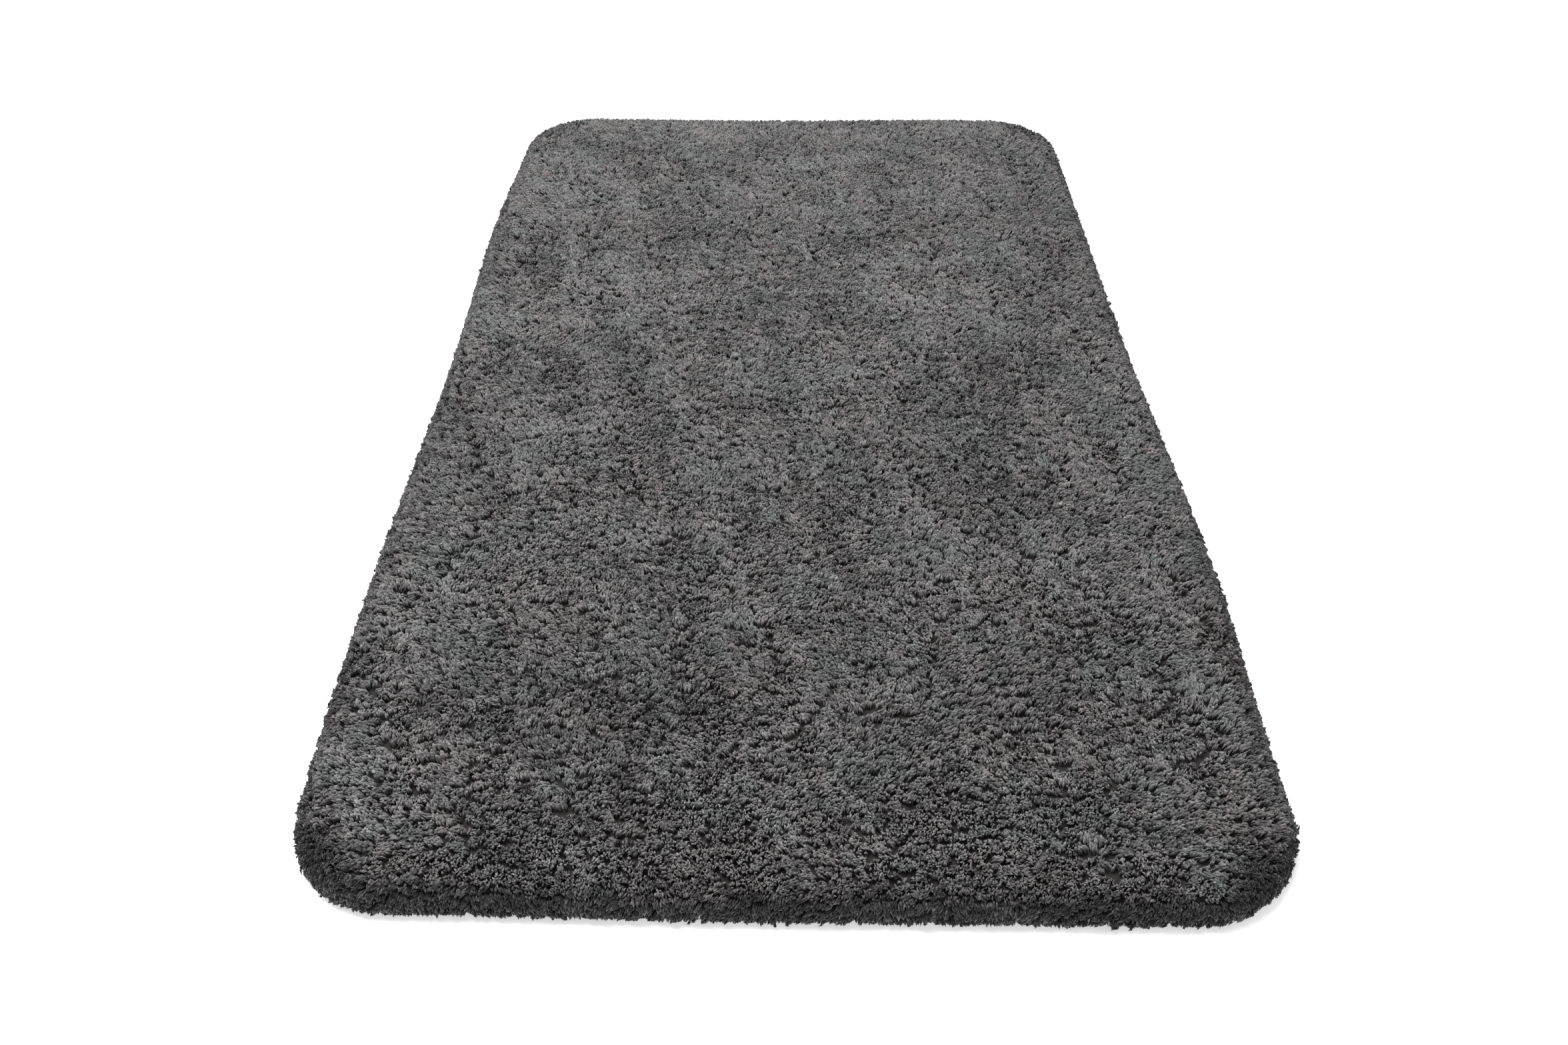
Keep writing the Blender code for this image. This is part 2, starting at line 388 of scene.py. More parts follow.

# Painted light and shade: soft lighter and darker patches are painted where brushed tips lie the
# other way and catch the light differently. Each tuft and strand is also painted a little lighter
# or darker at random, as painted light and shade on their heads. In patches the yarn is a little
# warmer. The rim is painted darker, most of all round the corners where the tufts hang down: this is
# painted shade on the sides that turn away from the lamp.
cornered = 4 * (outward[:, 0] * outward[:, 1]) ** 2
tuft_painted_light = 0.515 + 0.07 * rolling(tufts, 25 * MM, 90 * MM)
tuft_painted_light += 0.075 * rolling(tufts, 120 * MM, 400 * MM)
# How far into the rim's painted shade a tuft lies. Round the corners the shade starts further in.
rim = np.clip((past + (10 + 34 * cornered) * MM) / (TURN + (6 + 26 * cornered) * MM), 0, 1)
tuft_painted_light += random.normal(0, PAINTED_LIGHT_SCATTER, len(tufts))
tuft_painted_light -= (0.62 + 0.35 * cornered) * rim ** (1.4 + 0.5 * cornered)
tuft_warmth = 0.42 + 0.36 * rolling(tufts, 25 * MM, 200 * MM)
tuft_warmth += random.normal(0, WARMTH_SCATTER, len(tufts))


def strands_of(chosen, strands, stretch):
    """So many strands of each of these tufts: each one's line, width, turn and window."""
    count = len(chosen) * strands
    tuft = np.repeat(chosen, strands)
    angle = np.tile(np.arange(strands) * 2.4, len(chosen)) + random.uniform(-0.4, 0.4, count)
    angle += np.repeat(random.uniform(0, 2 * np.pi, len(chosen)), strands)
    ring = np.tile(np.sqrt((np.arange(strands) + 0.3) / strands), len(chosen))
    spread = ring * 0.52 * TUFT_PITCH * tuft_size[tuft]
    offset = np.column_stack([1.12 * np.cos(angle), 0.82 * np.sin(angle)]) * spread[:, None]
    root = tufts[tuft] + offset * 0.9
    lean = tuft_lean[tuft] * stretch + random.normal(0, 0.5 * MM, (count, 2))
    tip = tufts[tuft] + offset * 0.75 + lean + random.normal(0, 0.7 * MM, (count, 2))
    middle = tufts[tuft] + offset * 1.15 + 0.2 * lean
    tip_depth = tuft_drop[tuft] + HEAD_DOME * ring**2 + np.abs(random.normal(0, 0.5 * MM, count))
    tip_depth -= 2.5 * MM * (stretch - 1) * random.random(count)
    middle_depth = tip_depth + random.uniform(0.5 * MM, 2.5 * MM, count)
    bent = random.uniform(-0.16, 0.14, count)

    def line(t):
        t = (t + bent * 4 * t * (1 - t))[:, None]
        spot = (1 - t) ** 2 * root + 2 * t * (1 - t) * middle + t**2 * tip
        t = t[:, 0]
        depth = (1 - t) ** 2 * ROOT_DEPTH + 2 * t * (1 - t) * middle_depth + t**2 * tip_depth
        return rolled(spot, depth)

    width = STRAND_WIDTH * random.uniform(0.8, 1.25, count)
    # The strand's painted light is its tuft's level plus some random scatter of its own. It picks the
    # strand's window.
    painted_light = np.clip(tuft_painted_light[tuft] + random.normal(0, PAINTED_LIGHT_SCATTER, count), 0, 0.999)
    warmth = np.clip(tuft_warmth[tuft] + random.normal(0, WARMTH_SCATTER, count), 0, 0.999)
    window = np.floor(warmth * WARMTHS) * PAINTED_LIGHT_STEPS + np.floor(painted_light * PAINTED_LIGHT_STEPS)
    return line, width, angle, window


strand = strand_shape(widest=0.75, flatness=0.45)
BANDS = 10
order = np.argsort(tufts[:, 1], kind="stable")
bands = []
for number, part in enumerate(np.array_split(order, BANDS), 1):
    bands.append((f"pile_band_{number:02d}", part, TUFT_STRANDS, 1.0))

# Longer strands stand out from the rim and hang over it.
FRINGE_STRANDS = 4
FRINGE_STRETCH = 1.45
bands.append(("pile_fringe", np.flatnonzero(past > 0.55 * TURN), FRINGE_STRANDS, FRINGE_STRETCH))
for name, chosen, strands, stretch in bands:
    line, width, turn, window = strands_of(chosen, strands, stretch)
    mesh = stamped(name, strand, line, width, turn, window)
    band = bpy.data.objects.new(mesh.name, mesh)
    bpy.context.collection.objects.link(band)
    band.data.materials.append(yarn)
    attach(band, "root")
    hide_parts("pile")


# ---- Depth of the pile ----
# The lower part of the same yarn, where the tufts stand too close to be told apart. It is painted
# near black, far darker than the yarn, as painted shade: it shows only as the dark between the
# tufts' heads, and it bows with them at the edges.

CORE_DEPTH = 8.6 * MM
CORE_FOOT = 6.4 * MM
CORE_SHOULDER = 7.5 * MM
CORE_CUTS = 17


def core_shade_material():
    material, place, shader = new_material("pile_depth_painted_shade", Roughness=0.95, Specular_IOR_Level=0.1)
    noise = place.add("ShaderNodeTexNoise", Vector=place, Scale=420.0, Detail=3.0)
    # The near-black colour is painted shade deep between the tufts, mottled a little.
    feed(shader, Base_Color=noise.mixed((0.014, 0.014, 0.014), (0.045, 0.039, 0.038)))
    return material


def select_edges(piece, wanted):
    """Selects the edges whose two ends pass the test, and leaves the piece in edit mode."""
    bpy.ops.object.mode_set(mode="EDIT")
    bpy.ops.mesh.select_mode(type="EDGE")
    bpy.ops.mesh.select_all(action="DESELECT")
    bpy.ops.object.mode_set(mode="OBJECT")
    for edge in piece.data.edges:
        edge.select = wanted(*(piece.data.vertices[i].co for i in edge.vertices))
    bpy.ops.object.mode_set(mode="EDIT")


def rounded_block(name, low, high, corner, segments=12):
    """A block between two corners with its four upright edges rounded."""
    low, high = np.array(low), np.array(high)
    bpy.ops.mesh.primitive_cube_add(size=1, location=tuple((low + high) / 2))
    piece = bpy.context.object
    piece.name = piece.data.name = name
    piece.dimensions = tuple(high - low)
    bpy.ops.object.transform_apply(location=True, rotation=True, scale=True)
    select_edges(piece, lambda a, b: abs(a.z - b.z) > 0.1 * MM)
    bpy.ops.mesh.bevel(offset=corner, segments=segments, profile=0.5)
    bpy.ops.object.mode_set(mode="OBJECT")
    return piece


core = rounded_block(
    "pile_core",
    (pile_left + CORE_DEPTH, pile_front + CORE_DEPTH, CORE_FOOT),
    (pile_right - CORE_DEPTH, pile_back - CORE_DEPTH, pile_top - CORE_DEPTH),
    CORNER - CORE_DEPTH,
)
select_edges(core, lambda a, b: min(a.z, b.z) > pile_top - CORE_DEPTH - 0.1 * MM)
bpy.ops.mesh.bevel(offset=CORE_SHOULDER, segments=4, profile=0.5)
for share in np.linspace(-0.8, 0.8, CORE_CUTS):
    bpy.ops.mesh.select_all(action="SELECT")
    bpy.ops.mesh.bisect(plane_co=(0, share * pile_back, 0), plane_no=(0, 1, 0))
    bpy.ops.mesh.select_all(action="SELECT")
    bpy.ops.mesh.bisect(plane_co=(share * pile_right, 0, 0), plane_no=(1, 0, 0))
bpy.ops.object.mode_set(mode="OBJECT")
bow = bowed(np.array([v.co[:2] for v in core.data.vertices]))
for vertex, spot in zip(core.data.vertices, bow):
    vertex.co.x, vertex.co.y = spot
core.data.materials.append(core_shade_material())
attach(core, "root")
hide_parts("pile")


# ---- Primary backing ----
# A plain weave of flat grey ribbon yarn that every tuft is stitched through. It is cut once, a
# little smaller than the pile, and its underside shows the tuft rows as low ridges.


def woven(u, v):
    """A plain weave one yarn to each unit: its height, and where the yarns along v lie on top."""
    first = u.maths("SINE", u * np.pi)
    second = u.maths("SINE", v * np.pi)
    over = u.maths("GREATER_THAN", first * second, 0.0)
    first = u.maths("ABSOLUTE", first)
    second = u.maths("ABSOLUTE", second)
    height = over * first * (0.6 + 0.4 * second) + (1 - over) * second * (0.6 + 0.4 * first)
    return height, over


def backing_material():
    material, place, shader = new_material("woven_backing", Specular_IOR_Level=0.35)
    x, y, _ = place.parts()
    height, over = woven(x / (1.3 * MM), y / (2.4 * MM))
    wear = place.add("ShaderNodeTexNoise", Vector=place, Scale=90.0, Detail=3.0)
    # The weave is painted darker where its yarns dip under each other: painted shade in its hollows.
    colour = height.mixed((0.045, 0.045, 0.045), (0.165, 0.165, 0.162))
    feed(shader, Base_Color=colour.shaded(0.75 + 0.5 * wear), Roughness=0.5 + 0.25 * over)
    bump = place.add("ShaderNodeBump", Strength=0.7, Distance=0.15 * MM, Height=height)
    feed(shader, Normal=bump)
    return material


def layer(name, node, ridge, lines_per_row):
    """A flat layer with low ridges under it, one to a tuft row, and the flat area it is cut to."""
    (left, front, low), (right, back, high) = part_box(node)
    corner = CORNER - (pile_right - right)
    count = int((back - front) / ROW_PITCH) * lines_per_row
    y = np.linspace(front, back, count + 1)
    round_y = np.clip(np.abs(y) - (back - corner), 0, corner)
    half = right - corner + np.sqrt(corner**2 - round_y**2)
    x = half[:, None] * np.linspace(-1, 1, 5)
    wave = 0.5 + 0.5 * np.cos(2 * np.pi * y / ROW_PITCH)
    fade = np.clip((back - corner - np.abs(y)) / corner, 0, 1)
    under = low + ridge * (1 - wave * fade)
    grid = np.stack([x, np.broadcast_to(y[:, None], x.shape), np.full(x.shape, high)], -1)
    bottom = grid.copy()
    bottom[..., 2] = under[:, None]
    lines, columns = x.shape
    points = np.concatenate([grid.reshape(-1, 3), bottom.reshape(-1, 3)])
    index = np.arange(lines * columns).reshape(lines, columns)
    other = index + lines * columns
    top_faces = np.stack([index[:-1, :-1], index[:-1, 1:], index[1:, 1:], index[1:, :-1]], -1)
    low_faces = np.stack([other[:-1, :-1], other[1:, :-1], other[1:, 1:], other[:-1, 1:]], -1)
    rim = np.concatenate([index[0], index[1:, -1], index[-1, -2::-1], index[-2:0:-1, 0]])
    rim_next = np.roll(rim, -1)
    rim_faces = np.stack([rim, rim + lines * columns, rim_next + lines * columns, rim_next], -1)
    faces = np.concatenate([top_faces.reshape(-1, 4), low_faces.reshape(-1, 4), rim_faces])
    mesh = bpy.data.meshes.new(name)
    mesh.from_pydata(points.tolist(), [], faces.tolist())
    piece = bpy.data.objects.new(name, mesh)
    bpy.context.collection.objects.link(piece)
    return piece, 4 * right * back - (4 - np.pi) * corner**2


backing, backing_area = layer(
    "primary_backing_cloth",
    "primary_backing",
    ridge=0.15 * MM,
    lines_per_row=4,
)
backing.data.materials.append(backing_material())
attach(backing, "root")
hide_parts("primary_backing")


# ---- Latex precoat ----
# A thin cream latex spread over the stitches under the backing. It locks the tufts, and it follows
# their rows in shallow ridges.


def precoat_material():
    material, place, shader = new_material("precoat_latex", Specular_IOR_Level=0.45)
    mottle = place.add("ShaderNodeTexNoise", Vector=place, Scale=60.0, Detail=4.0, Roughness=0.6)
    bubbles = place.add("ShaderNodeTexVoronoi", Vector=place, Scale=420.0)
    pits = ((bubbles - 0.12) * 6).clamped()
    # The small pits are painted darker: painted shade in them, as the bump also sinks them.
    colour = mottle.mixed((0.42, 0.39, 0.33), (0.66, 0.64, 0.58)).shaded(0.8 + 0.2 * pits)
    feed(shader, Base_Color=colour, Roughness=0.35 + 0.25 * mottle)
    bump = place.add("ShaderNodeBump", Strength=0.6, Distance=0.2 * MM, Height=pits)
    feed(shader, Normal=bump)
    return material


precoat, _ = layer("latex_precoat_layer", "latex_precoat", ridge=0.25 * MM, lines_per_row=3)
precoat.data.materials.append(precoat_material())
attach(precoat, "root")
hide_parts("latex_precoat")


# ---- Anti-slip coat ----
# A skin of soft grey latex, the mat's underside, with small raised dots that grip the floor. It
# was spread last, up to the binding, and it is thinner where the care label lies.

FILM = 1.0 * MM
DOT_PITCH = 18 * MM
DOT_FOOT = 2.7 * MM
DOT_FACE = 2.0 * MM
DOT_HEIGHT = 0.75 * MM
LABEL_ROOM = 1.0 * MM
LABEL_GAP = 0.3 * MM


def coat_material(name):
    material, place, shader = new_material(name, Specular_IOR_Level=0.3)
    grain = place.add("ShaderNodeTexNoise", Vector=place, Scale=900.0, Detail=2.0)
    cloud = place.add("ShaderNodeTexNoise", Vector=place, Scale=14.0, Detail=3.0)
    tone = 0.5 * grain + 0.5 * cloud
    feed(shader, Base_Color=tone.mixed((0.22, 0.22, 0.225), (0.38, 0.38, 0.375)))
    feed(shader, Roughness=0.6 + 0.25 * grain)
    bump = place.add("ShaderNodeBump", Strength=0.5, Distance=0.1 * MM, Height=grain)
    feed(shader, Normal=bump)
    return material


(coat_left, coat_front, coat_low), (coat_right, coat_back, coat_high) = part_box("anti_slip_coat")
(label_left, label_front, label_low), (label_right, label_back, label_high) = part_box("care_label")
film = rounded_block(
    "anti_slip_film",
    (coat_left, coat_front, coat_high - FILM),
    (coat_right, coat_back, coat_high),
    CORNER - (pile_right - coat_right),
)
bpy.ops.object.select_all(action="DESELECT")
pocket = rounded_block(
    "label_pocket",
    (label_left - LABEL_ROOM, label_front - LABEL_ROOM, label_low - FILM),
    (label_right + LABEL_ROOM, label_back + LABEL_ROOM, label_high + LABEL_GAP),
    LABEL_ROOM,
    segments=3,
)
cut = film.modifiers.new("pocket", "BOOLEAN")
cut.object = pocket
cut.operation = "DIFFERENCE"
bpy.context.view_layer.objects.active = film
bpy.ops.object.modifier_apply(modifier="pocket")
bpy.data.objects.remove(pocket)
ease = film.modifiers.new("edges", "BEVEL")
ease.width = 0.2 * MM
ease.segments = 2
ease.limit_method = "ANGLE"
bpy.ops.object.modifier_apply(modifier="edges")
film.data.materials.append(coat_material("anti_slip_latex"))
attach(film, "root")
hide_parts("anti_slip_coat")


def copied(name, shape, spots, turns=None, twist=None):
    """One mesh of copies of a small shape, moved to each spot and turned about +Z."""
    places = np.array([v.co for v in shape.data.vertices])
    faces = [list(p.vertices) for p in shape.data.polygons]
    turns = np.zeros(len(spots)) if turns is None else turns
    cos, sin = np.cos(turns)[:, None], np.sin(turns)[:, None]
    x, y, z = places.T
    level = np.broadcast_to(z, (len(spots), len(z)))
    points = np.stack([x * cos - y * sin, x * sin + y * cos, level], -1)
    points = points + np.array(spots)[:, None, :]
    starts = range(0, len(spots) * len(places), len(places))
    all_faces = [[start + v for v in face] for start in starts for face in faces]
    mesh = bpy.data.meshes.new(name)
    mesh.from_pydata(points.reshape(-1, 3).tolist(), [], all_faces)
    if twist is not None:
        layer_of = mesh.uv_layers.new(name="twist")
        own = np.array([twist[v] for face in faces for v in face])
        layer_of.uv.foreach_set("vector", np.tile(own, (len(spots), 1)).astype(np.float32).ravel())
    mesh.polygons.foreach_set("use_smooth", np.ones(len(mesh.polygons), bool))
    piece = bpy.data.objects.new(name, mesh)
    bpy.context.collection.objects.link(piece)
    return piece


def inside_rounded(spots, half, corner):
    """Which spots lie within a rounded rectangle about the origin."""
    over = np.maximum(np.abs(spots) - (np.array(half) - corner), 0)
    return np.linalg.norm(over, axis=1) < corner


bpy.ops.mesh.primitive_cone_add(vertices=8, radius1=DOT_FACE, radius2=DOT_FOOT, depth=DOT_HEIGHT)
dot = bpy.context.object
step_y = DOT_PITCH * np.sqrt(0.75)
across = np.arange(-round(coat_right / DOT_PITCH), round(coat_right / DOT_PITCH) + 1) * DOT_PITCH
upward = np.arange(-round(coat_back / step_y), round(coat_back / step_y) + 1)
grid_x, grid_y = np.meshgrid(across, upward)
grid_x = grid_x + 0.5 * DOT_PITCH * (grid_y % 2)
dot_spots = np.column_stack([grid_x.ravel(), grid_y.ravel() * step_y])
free = 2 * DOT_FOOT
dot_room = (coat_right - free, coat_back - free)
dot_corner = CORNER - (pile_right - coat_right) - free
dot_spots = dot_spots[inside_rounded(dot_spots, dot_room, dot_corner)]
label_middle = ((label_left + label_right) / 2, (label_front + label_back) / 2)
label_room = ((label_right - label_left) / 2 + free, (label_back - label_front) / 2 + free)
near_label = (np.abs(dot_spots - label_middle) < label_room).all(axis=1)
dot_spots = dot_spots[~near_label]
dot_places = np.column_stack([dot_spots, np.full(len(dot_spots), coat_low + DOT_HEIGHT / 2)])
dots = copied("anti_slip_dots", dot, dot_places)
bpy.data.objects.remove(dot)
dots.data.materials.append(coat_material("anti_slip_dots"))
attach(dots, "root")
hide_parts("anti_slip_coat")


# ---- Edge binding ----
# A woven polyester tape, folded in a C round the edge of the backing and its latex, with one leg
# on top under the pile and one leg below.

TAPE = 0.8 * MM
TAPE_LEG = 11 * MM
FOLD = 1.0 * MM
(tape_left, tape_front, tape_low), (tape_right, tape_back, tape_high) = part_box("edge_binding")
tape_corner = CORNER - (pile_right - tape_right)


def edge_line(half, corner, step, corner_steps):
    """Points round a rounded rectangle, with the way out at each and how far along it lies."""
    points, ways = [], []
    for quarter in range(4):
        side = np.array([[1, 1], [-1, 1], [-1, -1], [1, -1]][quarter])
        centre = side * (np.array(half) - corner)
        angles = np.linspace(0, np.pi / 2, corner_steps + 1) + quarter * np.pi / 2
        turn = np.column_stack([np.cos(angles), np.sin(angles)])
        points += list(centre + corner * turn)
        ways += list(turn)
        after = np.array([[-1, 1], [-1, -1], [1, -1], [1, 1]][quarter]) * (np.array(half) - corner)
        goal = after + corner * turn[-1]
        pieces = int(np.linalg.norm(goal - points[-1]) / step)
        start = points[-1]
        for piece in range(1, pieces):
            points.append(start + (goal - start) * piece / pieces)
            ways.append(turn[-1])
    points, ways = np.array(points), np.array(ways)
    steps = np.linalg.norm(np.roll(points, -1, axis=0) - points, axis=1)
    return points, ways, np.concatenate([[0], np.cumsum(steps)])


def tape_material():
    material, place, shader = new_material(
        "binding_tape", Sheen_Weight=0.2, Sheen_Roughness=0.5, Specular_IOR_Level=0.3
    )
    across, along, _ = place.add("ShaderNodeUVMap", {"uv_map": "tape"}).parts()
    height, over = woven(across / (0.75 * MM), along / (0.9 * MM))
    rub = place.add("ShaderNodeTexNoise", Vector=place, Scale=70.0, Detail=3.0)
    # The tape's weave is painted darker where its yarns dip under each other: painted shade in its
    # hollows.
    colour = height.mixed((0.020, 0.020, 0.021), (0.085, 0.085, 0.088)).shaded(0.75 + 0.5 * rub)
    feed(shader, Base_Color=colour, Roughness=0.62 + 0.2 * over)
    bump = place.add("ShaderNodeBump", Strength=0.8, Distance=0.15 * MM, Height=height)
    feed(shader, Normal=bump)
    return material


edge_points, edge_ways, edge_far = edge_line(
    (tape_right, tape_back),
    tape_corner,
    step=18 * MM,
    corner_steps=16,
)
bend = np.linspace(0, np.pi / 2, 4)
low_z, high_z = tape_low + TAPE / 2, tape_high - TAPE / 2
section = [(TAPE_LEG * share, low_z) for share in (1.0, 0.7, 0.4)]
section += [(TAPE / 2 + FOLD * (1 - np.sin(b)), low_z + FOLD * (1 - np.cos(b))) for b in bend]
section += [(TAPE / 2 + FOLD * (1 - np.cos(b)), high_z - FOLD * (1 - np.sin(b))) for b in bend]
section += [(TAPE_LEG * share, high_z) for share in (0.4, 0.7, 1.0)]
section = np.array(section)
slack = np.array([1.0, 0.6, 0.2, *[0.0] * 8, 0.2, 0.6, 1.0])
ripple = 0.12 * MM * np.sin(edge_far[:-1] * 2 * np.pi / (61 * MM))
ripple += 0.08 * MM * np.sin(edge_far[:-1] * 2 * np.pi / (143 * MM))
spots = np.empty((len(edge_points), len(section), 3))
spots[:, :, :2] = edge_points[:, None] - edge_ways[:, None] * section[None, :, :1]
rise = np.where(section[:, 1] > (low_z + high_z) / 2, 1.0, 0.0) * slack
spots[:, :, 2] = section[:, 1] + np.abs(ripple)[:, None] * rise
ring, width = len(edge_points), len(section)
index = np.arange(ring * width).reshape(ring, width)
following = np.roll(index, -1, axis=0)
tape_faces = np.stack([index[:, :-1], following[:, :-1], following[:, 1:], index[:, 1:]], -1)
mesh = bpy.data.meshes.new("edge_binding_tape")
mesh.from_pydata(spots.reshape(-1, 3).tolist(), [], tape_faces.reshape(-1, 4).tolist())
over_tape = np.concatenate([[0], np.cumsum(np.linalg.norm(np.diff(section, axis=0), axis=1))])
corner_uv = np.empty((ring, width - 1, 4, 2))
corner_uv[:, :, 0, 0] = corner_uv[:, :, 1, 0] = over_tape[:-1]
corner_uv[:, :, 2, 0] = corner_uv[:, :, 3, 0] = over_tape[1:]
corner_uv[:, :, 0, 1] = corner_uv[:, :, 3, 1] = edge_far[:-1, None]
corner_uv[:, :, 1, 1] = corner_uv[:, :, 2, 1] = edge_far[1:, None]
mesh.uv_layers.new(name="tape").uv.foreach_set("vector", corner_uv.astype(np.float32).ravel())
mesh.polygons.foreach_set("use_smooth", np.ones(len(mesh.polygons), bool))
tape = bpy.data.objects.new("edge_binding_tape", mesh)
bpy.context.collection.objects.link(tape)
bpy.ops.object.select_all(action="DESELECT")
tape.select_set(True)
bpy.context.view_layer.objects.active = tape
solid = tape.modifiers.new("thickness", "SOLIDIFY")
solid.thickness = TAPE
solid.offset = 0
bpy.ops.object.modifier_apply(modifier="thickness")
tape.data.materials.append(tape_material())
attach(tape, "root")
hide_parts("edge_binding")


# ---- Binding seams ----
# One lockstitch row of dark polyester thread holds the tape, 8 mm in from its folded edge.
# Each stitch shows as a short arch, on the upper leg and again underneath.

STITCH = 5 * MM
SEAM_INSET = 23 * MM


def thread_material():
    material, place, shader = new_material("sewing_thread", Roughness=0.45, Specular_IOR_Level=0.4)
    around, along, _ = place.add("ShaderNodeUVMap", {"uv_map": "twist"}).parts()
    ply = place.maths("SINE", (along * 5 + around) * (2 * np.pi)) * 0.5 + 0.5
    # The thread is painted darker in the grooves between its plies: painted shade that follows the
    # bump.
    feed(shader, Base_Color=ply.mixed((0.030, 0.030, 0.031), (0.120, 0.120, 0.123)))
    bump = place.add("ShaderNodeBump", Strength=0.8, Distance=0.1 * MM, Height=ply)
    feed(shader, Normal=bump)
    return material


thread_finish = thread_material()


def stitch_shape(length, thread, arch):
    """One stitch along X: a five-sided thread whose ends go down into the cloth (arch > 0: up)."""
    lying = (0, np.pi / 2, 0)
    bpy.ops.mesh.primitive_cylinder_add(vertices=5, radius=thread / 2, depth=length, rotation=lying)
    stitch = bpy.context.object
    bpy.ops.object.transform_apply(location=True, rotation=True, scale=True)
    bpy.ops.object.mode_set(mode="EDIT")
    for share in (-0.3, 0.3):
        bpy.ops.mesh.select_all(action="SELECT")
        bpy.ops.mesh.bisect(plane_co=(share * length, 0, 0), plane_no=(1, 0, 0))
    bpy.ops.object.mode_set(mode="OBJECT")
    twist = []
    for vertex in stitch.data.vertices:
        x, y, z = vertex.co
        twist.append(((np.arctan2(z, y) / (2 * np.pi)) % 1, x / length + 0.5))
        if abs(x) > 0.4 * length:
            vertex.co.z -= arch
    return stitch, twist


def seam(name, node, half, corner, length, thread, arch, height):
    """A row of stitches round a rounded rectangle, at this height, that stands for a thread."""
    line, _, far = edge_line(half, corner, step=2 * MM, corner_steps=24)
    count = int(round(far[-1] / length))
    middles = (np.arange(count) + 0.5) * far[-1] / count
    closed = np.vstack([line, line[:1]])
    x = np.interp(middles, far, closed[:, 0])
    y = np.interp(middles, far, closed[:, 1])
    after = middles + 0.5 * MM
    before = middles - 0.5 * MM
    ahead_x = np.interp(after, far, closed[:, 0]) - np.interp(before, far, closed[:, 0])
    ahead_y = np.interp(after, far, closed[:, 1]) - np.interp(before, far, closed[:, 1])
    turns = np.arctan2(ahead_y, ahead_x) + random.normal(0, 0.02, count)
    stitch, twist = stitch_shape(0.94 * length, thread, arch)
    row = copied(name, stitch, np.column_stack([x, y, np.full(count, height)]), turns, twist)
    bpy.data.objects.remove(stitch)
    row.data.materials.append(thread_finish)
    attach(row, "root")
    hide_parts(node)
    return row


THREAD = 0.5 * MM
STITCH_ARCH = 0.9 * MM
seam_half = (pile_right - SEAM_INSET, pile_back - SEAM_INSET)
seam_corner = CORNER - SEAM_INSET
top_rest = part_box("binding_seam_upper")[1][2] - THREAD / 2
low_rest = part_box("binding_seam_under")[0][2] + THREAD / 2
upper_seam = seam(
    "binding_stitches_upper",
    "binding_seam_upper",
    seam_half,
    seam_corner,
    STITCH,
    THREAD,
    STITCH_ARCH,
    top_rest,
)
under_seam = seam(
    "binding_stitches_under",
    "binding_seam_under",
    seam_half,
    seam_corner,
    STITCH,
    THREAD,
    -STITCH_ARCH,
    low_rest,
)


# ---- Care label ----
# A blank off-white satin ribbon, cut to 60 by 35 mm and sewn down near one corner of the
# underside, where the latex leaves room for it.

LABEL_THREAD = 0.25 * MM
LABEL_STITCH = 2.2 * MM
LABEL_ARCH = 0.35 * MM
LABEL_INSET = 3 * MM


def label_material():
    material, place, shader = new_material("label_satin", Sheen_Weight=0.1, Specular_IOR_Level=0.5)
    x, y, _ = place.parts()
    ribs = place.maths("SINE", y * (2 * np.pi / (0.35 * MM))) * 0.5 + 0.5
    steps = place.maths("SINE", (x * 2 + y * 5) * (2 * np.pi / (2.4 * MM))) * 0.5 + 0.5
    shine = 0.6 * ribs + 0.4 * steps
    feed(shader, Base_Color=shine.mixed((0.66, 0.66, 0.63), (0.84, 0.84, 0.82)))
    feed(shader, Roughness=0.5 - 0.2 * shine)
    bump = place.add("ShaderNodeBump", Strength=0.4, Distance=0.05 * MM, Height=shine)
    feed(shader, Normal=bump)
    return material


bpy.ops.object.select_all(action="DESELECT")
label_place = (*label_middle, (label_low + label_high) / 2)
bpy.ops.mesh.primitive_grid_add(x_subdivisions=24, y_subdivisions=14, size=1, location=label_place)
label = bpy.context.object
label.name = label.data.name = "care_label_ribbon"
label.scale = (label_right - label_left, label_back - label_front, 1)
bpy.ops.object.transform_apply(location=True, rotation=True, scale=True)
for vertex in label.data.vertices:
    x, y, _ = vertex.co
    inward = min(x - label_left, label_right - x, y - label_front, label_back - y)
    puff = max(inward - LABEL_INSET, 0) / (10 * MM)
    vertex.co.z -= 0.2 * MM * min(puff, 1) * (0.6 + 0.4 * np.sin(x * 2 * np.pi / (23 * MM)))
solid = label.modifiers.new("thickness", "SOLIDIFY")
solid.thickness = label_high - label_low
solid.offset = 0
bpy.ops.object.modifier_apply(modifier="thickness")
bpy.ops.object.shade_smooth_by_angle(angle=np.radians(40))
label.data.materials.append(label_material())
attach(label, "root")
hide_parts("care_label")

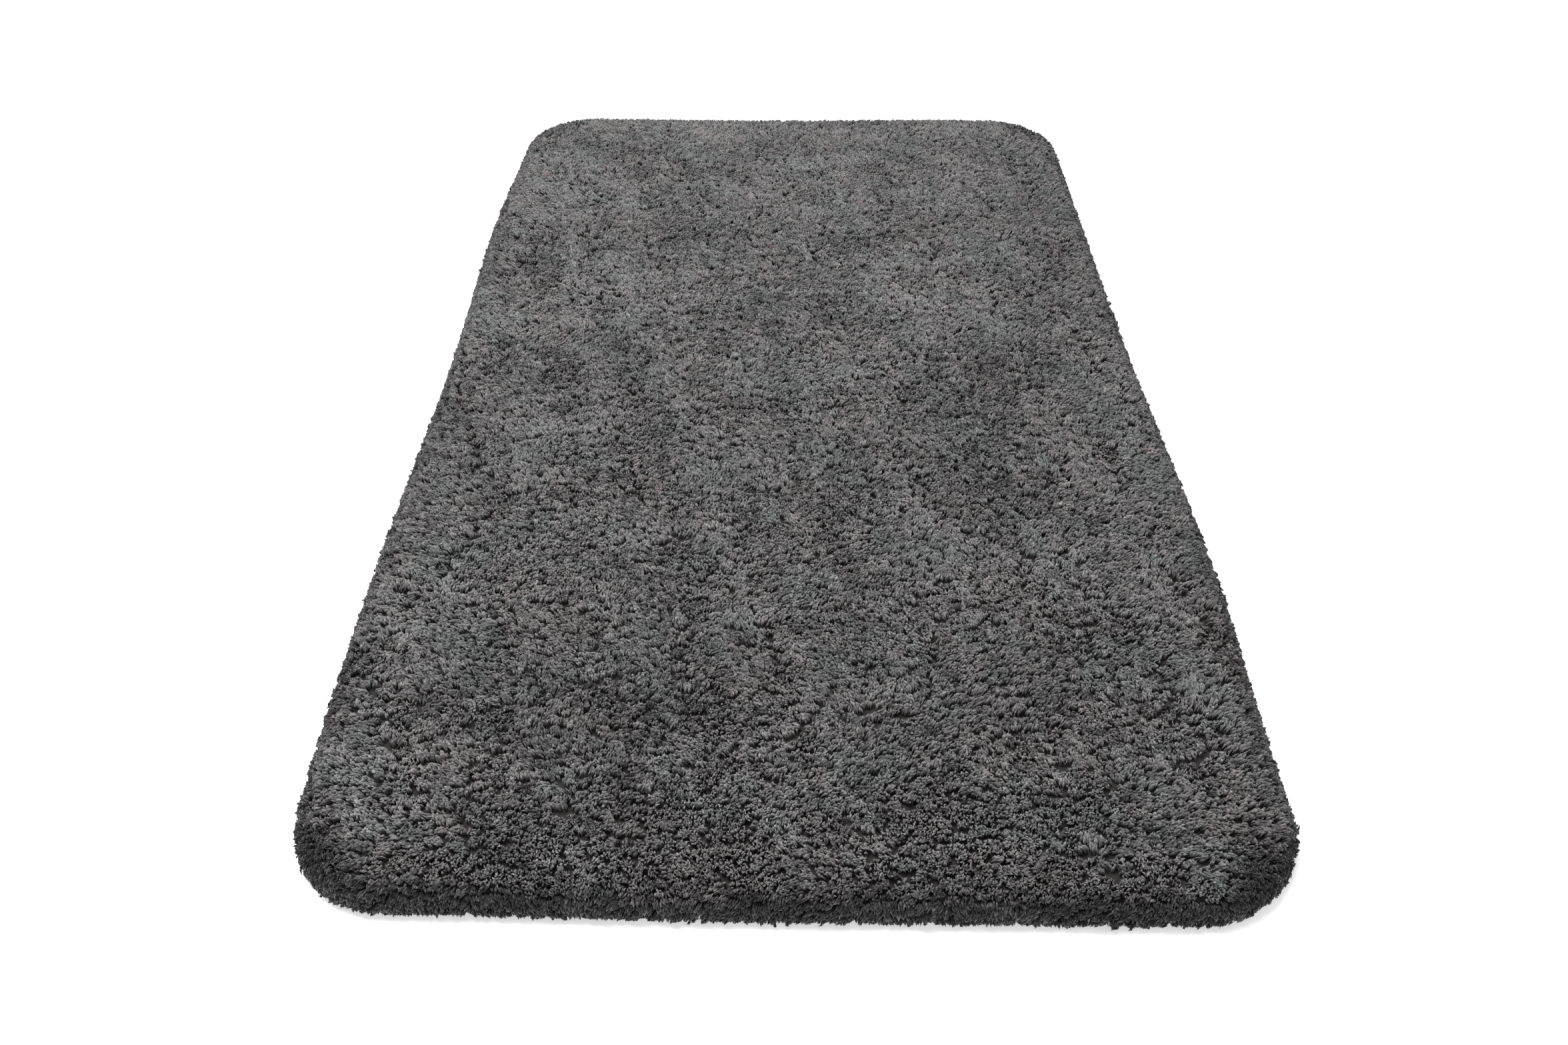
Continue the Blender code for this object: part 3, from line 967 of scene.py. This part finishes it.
label_half = (
    (label_right - label_left) / 2 - LABEL_INSET,
    (label_back - label_front) / 2 - LABEL_INSET,
)
label_stitches = seam(
    "care_label_stitches",
    "care_label_seam",
    label_half,
    1.0 * MM,
    LABEL_STITCH,
    LABEL_THREAD,
    -LABEL_ARCH,
    label_low - 0.1 * MM,
)
for vertex in label_stitches.data.vertices:
    vertex.co.x += label_middle[0]
    vertex.co.y += label_middle[1]


# ---- Floor, light and camera ----
# A plain white floor, one large soft lamp over the mat and an even white sky. The camera stands in
# front of the near end at about table height and looks down along the mat.

FLOOR_WIDTH = 12
UNDER_MAT = 0.5 * MM

bpy.ops.mesh.primitive_plane_add(size=FLOOR_WIDTH, location=(0, 0, -UNDER_MAT))
floor = bpy.context.object
floor.name = "floor"
floor_material, _, floor_shader = new_material("floor_white", Roughness=0.8, Emission_Strength=0.5)
floor_shader.socket.node.inputs["Emission Color"].default_value = (1, 1, 1, 1)
floor_shader.socket.default_value = (0.62, 0.62, 0.62, 1)
floor.data.materials.append(floor_material)

world = bpy.data.worlds.new("studio")
bpy.context.scene.world = world
world.use_nodes = True
world.node_tree.nodes["Background"].inputs["Color"].default_value = (1, 1, 1, 1)
world.node_tree.nodes["Background"].inputs["Strength"].default_value = 0.7


def soft_light(name, place, aim, size, power):
    lamp = bpy.data.lights.new(name, "AREA")
    lamp.shape = "RECTANGLE"
    lamp.size, lamp.size_y = size
    lamp.energy = power
    light = bpy.data.objects.new(name, lamp)
    bpy.context.collection.objects.link(light)
    light.location = place
    direction = np.array(aim) - np.array(place)
    light.rotation_euler = Vector(direction).to_track_quat("-Z", "Y").to_euler()
    return light


soft_light("key", (-0.65, 0.15, 2.35), (0, -0.2, 0), (1.4, 1.4), 82)

LOOKING_DOWN = 42.04
TURNED = -0.054
ROLLED = 0.634

camera_data = bpy.data.cameras.new("camera")
camera = bpy.data.objects.new("camera", camera_data)
bpy.context.collection.objects.link(camera)
camera_data.sensor_width = 36
camera_data.lens = 28.134
camera.location = (-0.0084, -1.0197, 0.7369)
level = Euler((np.radians(90 - LOOKING_DOWN), 0, np.radians(TURNED))).to_matrix()
camera.rotation_euler = (level @ Matrix.Rotation(np.radians(ROLLED), 3, "Z")).to_euler()
bpy.context.scene.camera = camera
bpy.context.scene.view_settings.view_transform = "Standard"
